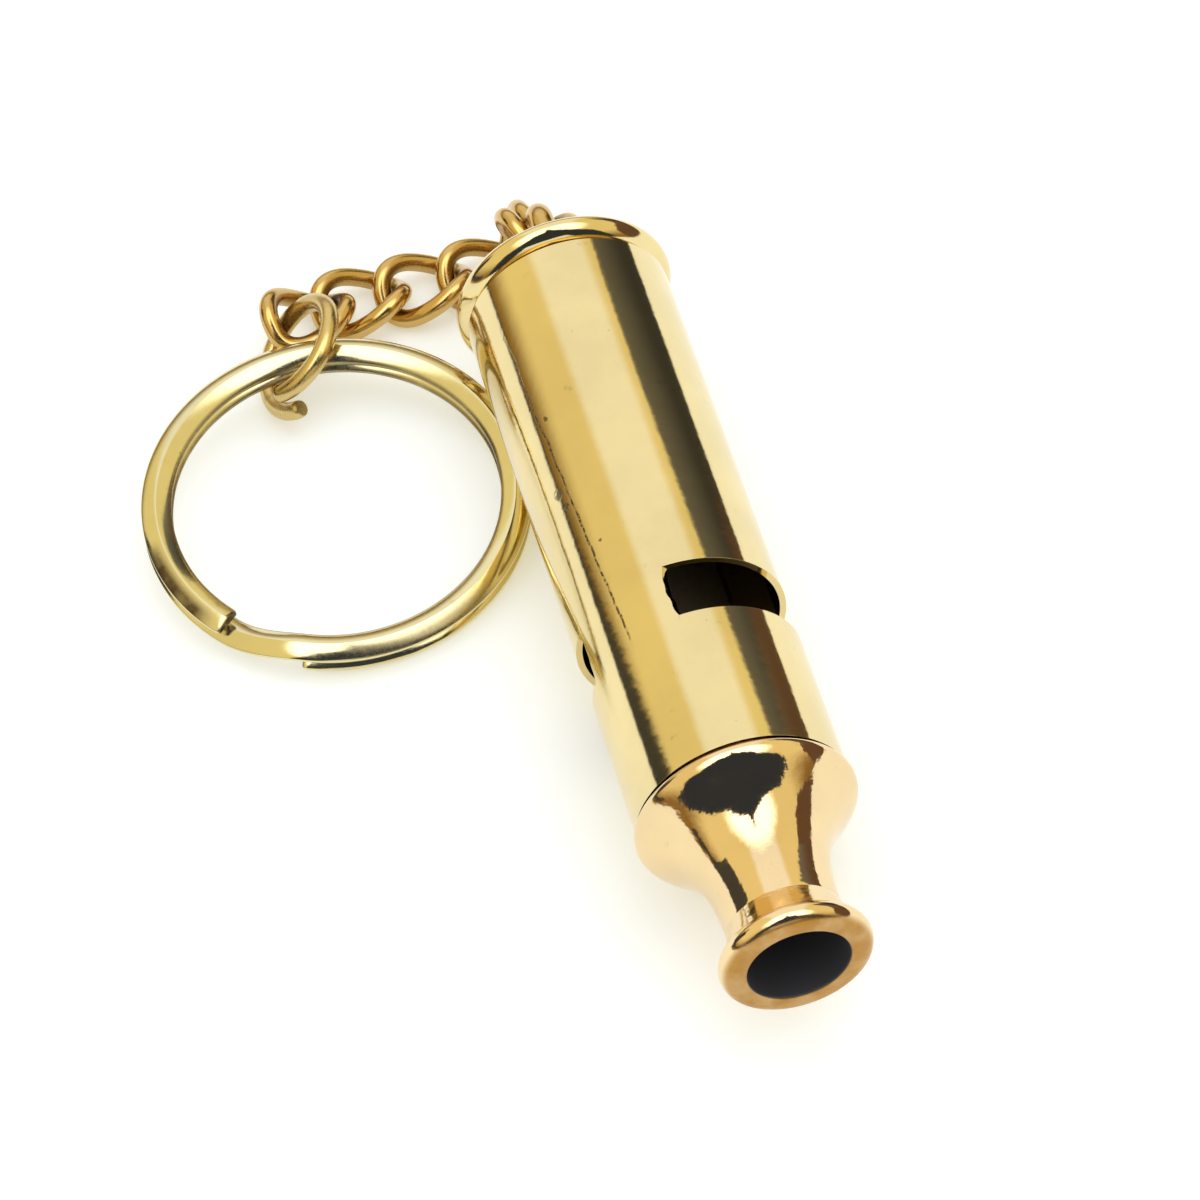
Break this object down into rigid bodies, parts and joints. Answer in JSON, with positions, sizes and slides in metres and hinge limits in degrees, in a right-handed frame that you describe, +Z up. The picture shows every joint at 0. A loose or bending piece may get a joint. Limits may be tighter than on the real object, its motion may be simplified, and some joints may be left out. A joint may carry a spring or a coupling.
{
  "type": "whistle",
  "caption": "Polished brass tube whistle with windows on opposite sides, a waisted mouthpiece, a beaded end cap with an eye, a curb chain, a jump ring and a split key ring.",
  "frame": {"origin": "under the middle of the whole object's box, on the surface that it lies on", "axes": "+Y along the whistle from the mouth to the cap, +X from the key ring towards the whistle, +Z up"},
  "size_m": [0.0446, 0.0794, 0.017],
  "materials": {
    "polished_brass": "polished",
    "turned_brass": "polished",
    "chain_brass": "worn polish",
    "ring_brass": "satin polish",
    "inner_brass": "dull"
  },
  "bodies": {
    "whistle": {"body_tube": "polished_brass", "end_cap": "polished_brass", "cap_eye": "chain_brass", "mouthpiece": "turned_brass", "fipple_plug": "inner_brass", "divider_plate": "inner_brass", "chamber_stop": "inner_brass"},
    "link_1": {"chain_link_1": "chain_brass"},
    "link_2": {"chain_link_2": "chain_brass"},
    "link_3": {"chain_link_3": "chain_brass"},
    "link_4": {"chain_link_4": "chain_brass"},
    "link_5": {"chain_link_5": "chain_brass"},
    "link_6": {"chain_link_6": "chain_brass"},
    "jump": {"jump_ring": "chain_brass"},
    "key_ring": {"split_ring": "ring_brass"}
  },
  "joints": [
    {"name": "link_1_swing", "type": "hinge", "parent": "whistle", "child": "link_1", "pos_m": [0.01379, 0.03242, 0.00653], "axis": [0, 0.7867, 0.6174], "range_deg": [-66, 0]},
    {"name": "link_2_swing", "type": "hinge", "parent": "link_1", "child": "link_2", "pos_m": [0.01467, 0.03418, 0.00536], "axis": [0.4601, -0.3401, -0.8202], "range_deg": [0, 102]},
    {"name": "link_3_swing", "type": "hinge", "parent": "link_2", "child": "link_3", "pos_m": [0.01153, 0.03445, 0.00098], "axis": [0.03, -0.6603, -0.7504], "range_deg": [0, 54]},
    {"name": "link_4_swing", "type": "hinge", "parent": "link_3", "child": "link_4", "pos_m": [0.00614, 0.03618, 0.00161], "axis": [0.5915, 0.5013, 0.6316], "range_deg": [-96, 6]},
    {"name": "link_5_swing", "type": "hinge", "parent": "link_4", "child": "link_5", "pos_m": [0.00099, 0.03637, 0.00161], "axis": [0.5915, 0.5013, 0.6316], "range_deg": [-96, 6]},
    {"name": "link_6_swing", "type": "hinge", "parent": "link_5", "child": "link_6", "pos_m": [-0.00407, 0.0372, 0.0021], "axis": [-0.2593, -0.7879, -0.5585], "range_deg": [-4, 140]},
    {"name": "jump_ring_swing", "type": "hinge", "parent": "link_6", "child": "jump", "pos_m": [-0.0077, 0.03479, 0.00212], "axis": [-0.7791, -0.3196, -0.5394], "range_deg": [-18, 140]},
    {"name": "key_ring_swing", "type": "hinge", "parent": "jump", "child": "key_ring", "pos_m": [-0.00404, 0.03041, 0.00686], "axis": [-0.2991, -0.9372, -0.1795], "range_deg": [-84, 0]}
  ]
}
